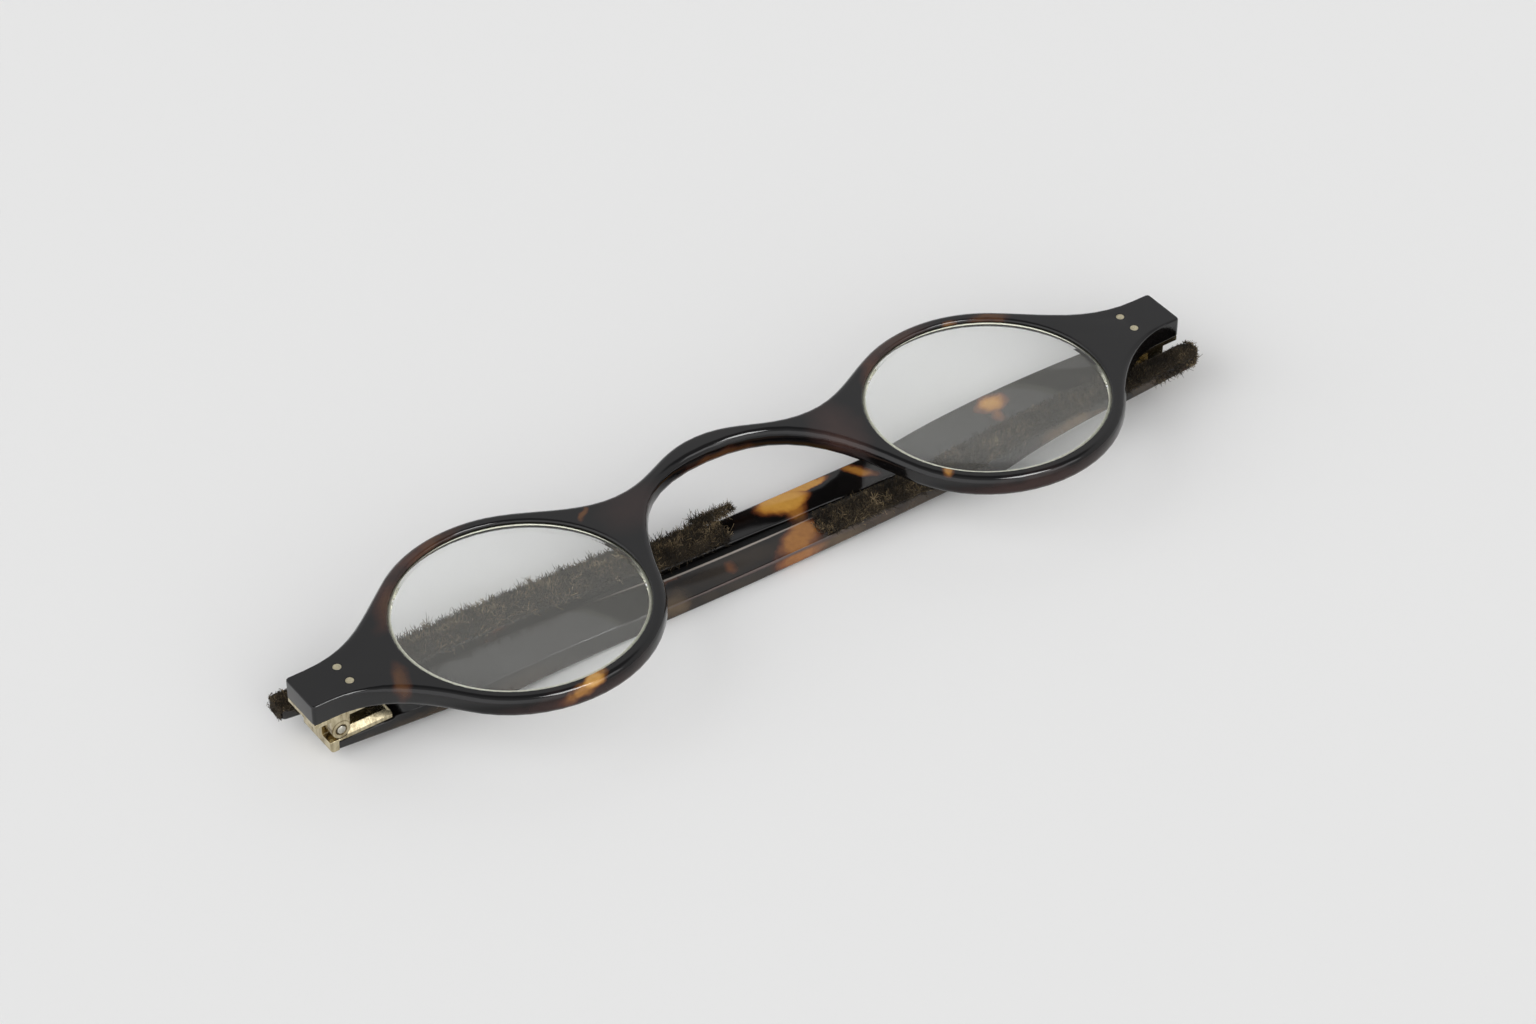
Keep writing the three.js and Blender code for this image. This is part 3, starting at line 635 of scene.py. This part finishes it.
def makeGroundEdgeMaterial(setup):
    material, tree, surface = startMaterial("lensGroundEdge")
    where = put(tree, "TexCoord").outputs["Object"]
    grit = put(tree, "TexNoise", {"Vector": where, "Scale": 3000.0, "Detail": 3.0}).outputs["Fac"]
    edge = put(
        tree, "BsdfPrincipled",
        {
            "Base Color": rampOf(tree, grit, [(0.3, (0.60, 0.60, 0.49)), (0.7, (0.80, 0.81, 0.67))]),
            "Roughness": 0.45, "IOR": setup["ior"], "Normal": bumpOf(tree, grit, 0.3, 0.00002),
        },
    )
    tree.links.new(edge.outputs[0], surface)
    return material


def makeLens(side, setup, glass, groundEdge):
    low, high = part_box(side + "_lens")
    half = setup["edgeThickness"] / 2 * mm
    middle = (low + high) / 2
    middle.z = high.z - setup["frontCrown"] * mm - half
    across, up = (high.x - low.x) / 2, (high.y - low.y) / 2
    face = across - setup["shoulder"] * mm
    shares = [step / setup["crownSteps"] for step in range(setup["crownSteps"] + 1)]
    front = [(face * s, half + setup["frontCrown"] * mm * (1 - s * s)) for s in shares]
    back = [(face * s, -half - setup["backCrown"] * mm * (1 - s * s)) for s in reversed(shares)]
    split = across - setup["groundReach"] * mm
    profile = front + [(across, 0.0), (split, -half * (across - split) / (across - face))] + back
    bm = bmesh.new()
    points = [bm.verts.new((r, 0, z)) for r, z in profile]
    edges = [bm.edges.new(pair) for pair in zip(points, points[1:])]
    bmesh.ops.spin(
        bm, geom=points + edges, cent=(0, 0, 0), axis=(0, 0, 1), angle=2 * math.pi,
        steps=setup["turnSteps"], use_merge=True,
    )
    bmesh.ops.remove_doubles(bm, verts=bm.verts, dist=setup["poleWeld"])
    bmesh.ops.recalc_face_normals(bm, faces=bm.faces)
    for each in bm.faces:
        centre = each.calc_center_median()
        each.material_index = int(math.hypot(centre.x, centre.y) > (face if centre.z > 0 else split))
    oval = Matrix.Translation(middle) @ Matrix.Diagonal((1, up / across, 1, 1))
    bmesh.ops.transform(bm, matrix=oval, verts=bm.verts)
    mesh = bpy.data.meshes.new(side + "LensGlass")
    bm.to_mesh(mesh)
    bm.free()
    mesh.shade_smooth()
    mesh.set_sharp_from_angle(angle=math.radians(setup["sharpAbove"]))
    mesh.materials.append(glass)
    mesh.materials.append(groundEdge)
    lens = bpy.data.objects.new(side + "LensGlass", mesh)
    scene.collection.objects.link(lens)
    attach(lens, "front")
    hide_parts(side + "_lens")


glassMaterial = makeGlassMaterial(lensSetup)
groundEdgeMaterial = makeGroundEdgeMaterial(lensSetup)
for side in sides:
    makeLens(side, lensSetup, glassMaterial, groundEdgeMaterial)
print("lenses ready")


# chenille: a dark ground with tufts of pile that stand up from it; lengths in mm
chenilleSetup = {
    "section": ((-1, 0), (-1, 0.45), (-0.7, 0.85), (0, 1), (0.7, 0.85), (1, 0.45), (1, 0)),  # across, up
    "sectionRise": 0.55,
    "padHeight": 0.74,
    "padShare": 0.93,
    "padTaper": 1.6,
    # painted shade: the pad is given a low tip value, so it is as dark as the fibre roots deep in the pile
    "padStart": 0.5,
    "padShadeTip": 0.2,
    "padTone": 0.4,
    "riseReach": 14.0,
    "tuftSpacing": 0.4,
    "rows": 11,
    "rowJitter": 0.025,
    "placeJitter": 0.16,
    "slopeStep": 0.07,
    "cornerCut": 0.8,
    "upward": 0.1,
    "fringe": (0.6, 0.7),  # how far tufts at the start lean out, and over what length
    # painted highlight: a lighter band of pile along the ridge, where the pile catches the light
    "crestHighlightTone": 0.42,
    "crestHighlightWidth": 0.28,
    "toneJitter": 0.22,
    "lumps": 0.28,
    "lumpWaves": ((2.3, 3), (0.9, -2)),  # along, across
    "endTaper": (2, 9),
    "farFrom": 0.3,
    "tuftReach": 0.68,
    "tuftDepth": 0.14,
    "tuftRadius": 0.15,
    "tuftLength": (0.72, 1.1),
    "lean": 0.25,
    "spread": 0.7,
    "stray": 0.34,
    "fibres": 8,
    "fibreSides": 3,
    "fibreTip": 0.45,
    "fibreLength": (0.66, 1.05),
    "fibreRadius": 0.05,
    "fibreThickness": (0.7, 1.2),
    "fibreTone": 0.11,
    "rootShadeTone": 0.15,
    # painted shade: each fibre darkens towards its root, as if deep in the pile
    "curl": 0.5,
    "floor": 0.1,
    "wall": {
        "levels": (0.2, 0.6, 1.0), "jitter": 0.1, "share": 0.95, "upward": 0.1, "reach": 0.4,
        "tone": (0.1, 0.15),
    },
    "tipPile": {"before": 0.2, "facing": -0.3, "depth": 0.25, "upward": 0.15, "tone": (0.15, 0.15)},
}
stripSetups = {
    "left": {
        "seed": 41, "slant": 0.0, "near": 0.92, "far": 0.55, "splay": 0.75, "ridge": -0.45,
        "tone": 0.24, "wrapLength": 0.3, "wrapShare": 1.0, "endShare": 1.15, "endReach": 0.6,
        "thinning": 6.0, "bulge": 0.7, "startRise": 0.0, "paintedShadeFrom": (17.0, 25.0), "paintedShadeTone": 0.5,
        "farReach": 0.5, "sideReach": 6.5, "looseEnd": None,
    },
    "right": {
        "seed": 23, "slant": -0.3, "near": 0.55, "far": 0.95, "splay": 0.38, "ridge": 0.05,
        "tone": 0.24, "wrapLength": 0.1, "wrapShare": 0.15, "endShare": 0.3, "endReach": 0.5,
        "thinning": 5.0, "bulge": 0.2, "startRise": 0.5, "paintedShadeFrom": (12.0, 20.0), "paintedShadeTone": 1.0,
        "farReach": 0.95, "sideReach": 0.0,
        "looseEnd": {
            "back": 3.4, "past": 2.0, "lift": 1.4, "rise": -0.05, "across": 0.8, "radius": 1.0,
            "steps": 20, "turns": 9, "twist": 4, "thinning": 0.25, "root": 0.25,
            "flare": (0.1, 0.6, 5), "tone": (0.05, 0.15),
        },
    },
}


def makeChenilleMaterial():
    material, tree, surface = startMaterial("chenillePile")
    where = put(tree, "TexCoord").outputs["Object"]
    tip = put(tree, "Attribute", attribute_name="tip").outputs["Fac"]
    tuft = put(tree, "Attribute", attribute_name="tuft").outputs["Fac"]
    worn = put(tree, "TexNoise", {"Vector": where, "Scale": 300.0, "Detail": 3.0})
    contrast, base = 1.5, -0.75
    mottled = calc(tree, "MULTIPLY_ADD", worn.outputs["Fac"], contrast, base)
    tone = calc(tree, "ADD", tuft, mottled, clamp=True)
    # colour darkens towards the fibre roots and over the pad: painted shade in the depth of the pile
    color = rampOf(
        tree, calc(tree, "MULTIPLY", tip, tone),
        [
            (0.0, (0.012, 0.009, 0.006)), (0.25, (0.048, 0.036, 0.021)), (0.5, (0.140, 0.104, 0.058)),
            (0.75, (0.32, 0.24, 0.135)), (1.0, (0.50, 0.38, 0.22)),
        ],
    )
    pile = put(
        tree, "BsdfPrincipled",
        {
            "Base Color": color, "Roughness": 0.85, "Specular IOR Level": 0.12,
            "Sheen Weight": 0.05, "Sheen Roughness": 0.4,
        },
    )
    tree.links.new(pile.outputs[0], surface)
    return material


# a packed strip up to its turn round the tip, in rows of (x, middle, half width, face level, pile height)
def stripSections(name):
    digits, slack, tipDrop = 6, 2e-6, 0.5 * mm
    points = np.array([v.co for v in nodes[name].data.vertices])
    sections = []
    for x in np.unique(np.round(points[:, 0], digits)):
        ring = points[np.abs(points[:, 0] - x) < slack]
        low, high = ring.min(axis=0), ring.max(axis=0)
        sections.append((x, (low[1] + high[1]) / 2, (high[1] - low[1]) / 2, low[2], high[2] - low[2]))
    sections.sort(key=lambda row: abs(row[0]))
    table = np.array(sections)
    drop = np.where(np.diff(table[:, 3]) < -tipDrop)[0]
    return table[: drop[0] + 1] if len(drop) else table


def makeFibreTemplate(setup):
    bm = bmesh.new()
    bmesh.ops.create_cone(
        bm, segments=setup["fibreSides"], radius1=1.0, radius2=setup["fibreTip"], depth=1.0, cap_ends=False,
    )
    bmesh.ops.translate(bm, verts=bm.verts, vec=(0, 0, 0.5))
    long = [e for e in bm.edges if abs(e.verts[0].co.z - e.verts[1].co.z) > 0.5]
    bmesh.ops.subdivide_edges(bm, edges=long, cuts=1)
    bmesh.ops.triangulate(bm, faces=bm.faces)
    bm.verts.index_update()
    verts = np.array([v.co for v in bm.verts])
    faces = np.array([[v.index for v in f.verts] for f in bm.faces])
    bm.free()
    return verts, faces


# every fibre as a curved cone: points, triangles and how near its tip each point is
def bendFibres(root, direction, length, setup, rng):
    shape, corners = makeFibreTemplate(setup)
    total, size = len(root), len(shape)
    across = np.cross(direction, rng.normal(0, 1, (total, 3)))
    across /= np.linalg.norm(across, axis=1)[:, None]
    other = np.cross(direction, across)
    bend = rng.normal(0, setup["curl"], (total, 3)) * length[:, None]
    radius = setup["fibreRadius"] * mm * rng.uniform(*setup["fibreThickness"], total)
    ring = shape[None, :, 0, None] * across[:, None, :] + shape[None, :, 1, None] * other[:, None, :]
    coords = (
        root[:, None, :]
        + radius[:, None, None] * ring
        + shape[None, :, 2, None] * (length[:, None] * direction)[:, None, :]
        + (shape[:, 2] ** 2)[None, :, None] * bend[:, None, :]
    ).reshape(-1, 3)
    coords[:, 2] = np.maximum(coords[:, 2], setup["floor"] * mm)
    faces = (corners[None, :, :] + (np.arange(total) * size)[:, None, None]).reshape(-1, 3)
    # the third list darkens each fibre towards its root: painted shade of the pile's depth
    return coords, faces, np.tile(setup["rootShadeTone"] + (1 - setup["rootShadeTone"]) * shape[:, 2], total)


def makeChenille(side, setup, strip, material):
    rng = np.random.default_rng(strip["seed"])
    name = side + "_chenille_strip"
    packed = nodes[name].data
    table = stripSections(name)
    way = 1.0 if table[-1, 0] > 0 else -1.0
    own = way * table[:, 0]
    start, stop = own[0], own[-1]
    step = setup["tuftSpacing"] * mm
    print(side, "strip runs from", round(start / mm, 2), "to", round(stop / mm, 2))

    def at(x):
        return [np.interp(x, own, column) for column in table[:, 1:].T]

    def padTaper(x):
        return min(1.0, max(0.0, (x - start) / (setup["padTaper"] * mm)))

    def endPlace(x):  # the pile is thinner over the end of the side
        past = way * x - stop
        return way * (stop + past * strip["wrapShare"]) if past > 0 else x

    def lift(x, u):  # how high the strip stands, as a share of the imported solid
        ends = min(1.0, max(0.0, (stop - x) / (strip["thinning"] * mm)))
        rise = strip["startRise"] * max(0.0, 1 - (x - start) / (setup["riseReach"] * mm))
        atEnd = strip["endShare"] + (1 - strip["endShare"]) * ends
        return atEnd * (1 + rise) * (strip["near"] + (strip["far"] - strip["near"]) * (u + 1) / 2)

    tufts = []

    def addTuft(place, outward, reach, tone):
        outward = outward / np.linalg.norm(outward)
        count = setup["fibres"]
        offset = rng.normal(0, setup["tuftRadius"] * mm, (count, 3))
        offset -= np.outer(offset @ outward, outward)
        lean = outward + rng.normal(0, setup["lean"], 3)
        direction = lean + offset / mm * setup["spread"] + rng.normal(0, setup["stray"], (count, 3))
        direction /= np.linalg.norm(direction, axis=1)[:, None]
        reach *= rng.uniform(*setup["tuftLength"])
        length = rng.uniform(*setup["fibreLength"], count) * reach
        tones = np.clip(tone + rng.normal(0, setup["fibreTone"], count), 0, 1)
        tufts.append((place + offset, direction, length, tones))

    section = np.array(setup["section"]) * (1, setup["sectionRise"])
    along = np.concatenate([[0], np.cumsum(np.linalg.norm(np.diff(section, axis=0), axis=1))])

    def onSection(share):
        return np.array([np.interp(share * along[-1], along, column) for column in section.T])

    fringe, fringeReach = setup["fringe"]
    for i in range(-2, int((stop - start) / step) + 1):  # two steps early, for a start that bulges
        for row in range(setup["rows"]):
            share = (row + 0.5) / setup["rows"] + rng.normal(0, setup["rowJitter"])
            u, v = onSection(share)
            slope = onSection(share + setup["slopeStep"]) - onSection(share - setup["slopeStep"])
            x = start + (i + (row % 2) * 0.5 + rng.normal(0, setup["placeJitter"])) * step
            edge = strip["slant"] * u + setup["cornerCut"] * abs(u) ** 3 - strip["bulge"] * (1 - u * u)
            begin = start + edge * mm
            if x < begin or x > stop:
                continue
            middle, half, face, pile = at(x)
            height = v / setup["sectionRise"] * setup["padHeight"] * pile * lift(x, u) * padTaper(x)
            outward = np.array([0.0, -slope[1] * strip["splay"], slope[0] + setup["upward"]])
            outward /= np.linalg.norm(outward)
            outward[0] -= way * fringe * max(0.0, 1 - (x - begin) / (fringeReach * mm))
            place = np.array([way * x, middle + u * half * setup["padShare"], face + height])
            place -= outward * setup["tuftDepth"] * mm
            # painted highlight: pile is lightened in a band round the ridge
            ridge = math.exp(-(((u - strip["ridge"]) / setup["crestHighlightWidth"]) ** 2))
            tone = strip["tone"] + setup["crestHighlightTone"] * ridge + rng.normal(0, setup["toneJitter"])
            # painted shade: over this stretch the pile's tone falls to the given share, where the strip
            # lies in shade under the rim
            tone *= np.interp(x / mm, strip["paintedShadeFrom"], (1.0, strip["paintedShadeTone"]))
            lump = setup["lumps"]
            for alongWave, acrossWave in setup["lumpWaves"]:
                lump *= math.sin(x / mm * alongWave + acrossWave * u)
            ends = np.interp(stop - x, [e * mm for e in setup["endTaper"]], (strip["endReach"], 1.0))
            ends *= np.interp(u, (setup["farFrom"], 1.0), (1.0, strip["farReach"]))
            addTuft(place, outward, setup["tuftReach"] * mm * (1 + lump) * ends, tone)

    wall = setup["wall"]  # pile drawn down the near wall at the tip
    for i in range(int(strip["sideReach"] * mm / step)):
        for level in wall["levels"]:
            x = stop - (i + rng.uniform()) * step
            middle, half, face = at(x)[:3]
            drop = (level + rng.normal(0, wall["jitter"])) * mm
            place = np.array([way * x, middle - half * wall["share"], face - drop])
            tone = strip["tone"] + rng.normal(*wall["tone"])
            addTuft(place, np.array([0.0, -1.0, wall["upward"]]), wall["reach"] * mm, tone)

    over = setup["tipPile"]  # short pile over the end of the side
    packed.calc_loop_triangles()
    facets = [
        t for t in packed.loop_triangles
        if way * t.center.x > stop - over["before"] * mm and t.normal.z > over["facing"]
    ]
    areas = np.array([t.area for t in facets])
    for pick in rng.choice(len(facets), int(areas.sum() / step ** 2), p=areas / areas.sum()):
        corners = [np.array(packed.vertices[v].co) for v in facets[pick].vertices]
        place = sum(share * corner for share, corner in zip(rng.dirichlet((1, 1, 1)), corners))
        place[0] = endPlace(place[0])
        normal = np.array(facets[pick].normal)
        outward = normal + np.array([0, 0, over["upward"]])
        tone = strip["tone"] + rng.normal(*over["tone"])
        addTuft(place - normal * over["depth"] * mm, outward, strip["wrapLength"] * mm, tone)

    loose = strip["looseEnd"]  # flap that has come away at the start
    for i in range(loose["steps"] if loose else 0):
        share = i / (loose["steps"] - 1)
        middle, half, face = at(start)[:3]
        core = np.array([
            way * (start + (loose["back"] - (loose["back"] + loose["past"]) * share) * mm),
            middle + half * loose["across"],
            face + (loose["lift"] + loose["rise"] * share) * mm,
        ])
        thick = loose["radius"] * (1 - loose["thinning"] * share) * mm
        least, most, power = loose["flare"]
        for turn in range(loose["turns"]):
            angle = turn / loose["turns"] * 2 * math.pi + share * loose["twist"]
            around = np.array([-way * (least + most * share ** power), math.cos(angle), math.sin(angle)])
            tone = strip["tone"] + rng.normal(*loose["tone"])
            addTuft(core + around * thick * loose["root"], around, thick * (1 - loose["root"]), tone)

    root, direction, length, tone = (np.concatenate(column) for column in zip(*tufts))
    coords, faces, tip = bendFibres(root, direction, length, setup, rng)

    pad = bmesh.new()  # the ground the pile grows from, lower than the solid it stands for
    pad.from_mesh(packed)
    bmesh.ops.remove_doubles(pad, verts=pad.verts, dist=weldReach)
    for vert in pad.verts:
        x = way * vert.co.x
        middle, half, face = at(x)[:3]
        taper = padTaper(x)
        if vert.co.z > face:
            u = max(-1.0, min(1.0, (vert.co.y - middle) / half))
            vert.co.z = face + (vert.co.z - face) * setup["padHeight"] * lift(x, u) * taper
        narrow = setup["padStart"] + (1 - setup["padStart"]) * taper
        vert.co.y = middle + (vert.co.y - middle) * setup["padShare"] * narrow
        vert.co.x = endPlace(vert.co.x)
    bmesh.ops.triangulate(pad, faces=pad.faces)
    pad.verts.index_update()
    padCoords = np.array([v.co for v in pad.verts])
    padFaces = np.array([[v.index for v in f.verts] for f in pad.faces]) + len(coords)
    pad.free()

    mesh = bpy.data.meshes.new(side + "Chenille")
    mesh.from_pydata(np.concatenate([coords, padCoords]), [], np.concatenate([faces, padFaces]))
    perPoint = np.repeat(tone, len(coords) // len(root))
    # the pad takes the root-dark tip value: painted shade under the pile
    for label, values, onPad in (("tip", tip, setup["padShadeTip"]), ("tuft", perPoint, setup["padTone"])):
        layer = mesh.attributes.new(label, "FLOAT", "POINT")
        layer.data.foreach_set("value", np.append(values, np.full(len(padCoords), onPad)))
    mesh.shade_smooth()
    mesh.materials.append(material)
    piece = bpy.data.objects.new(side + "Chenille", mesh)
    scene.collection.objects.link(piece)
    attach(piece, side + "_side")
    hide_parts(name)
    print(side, "chenille has", len(root), "fibres and", len(mesh.polygons), "faces")


chenilleMaterial = makeChenilleMaterial()
for side in sides:
    makeChenille(side, chenilleSetup, stripSetups[side], chenilleMaterial)
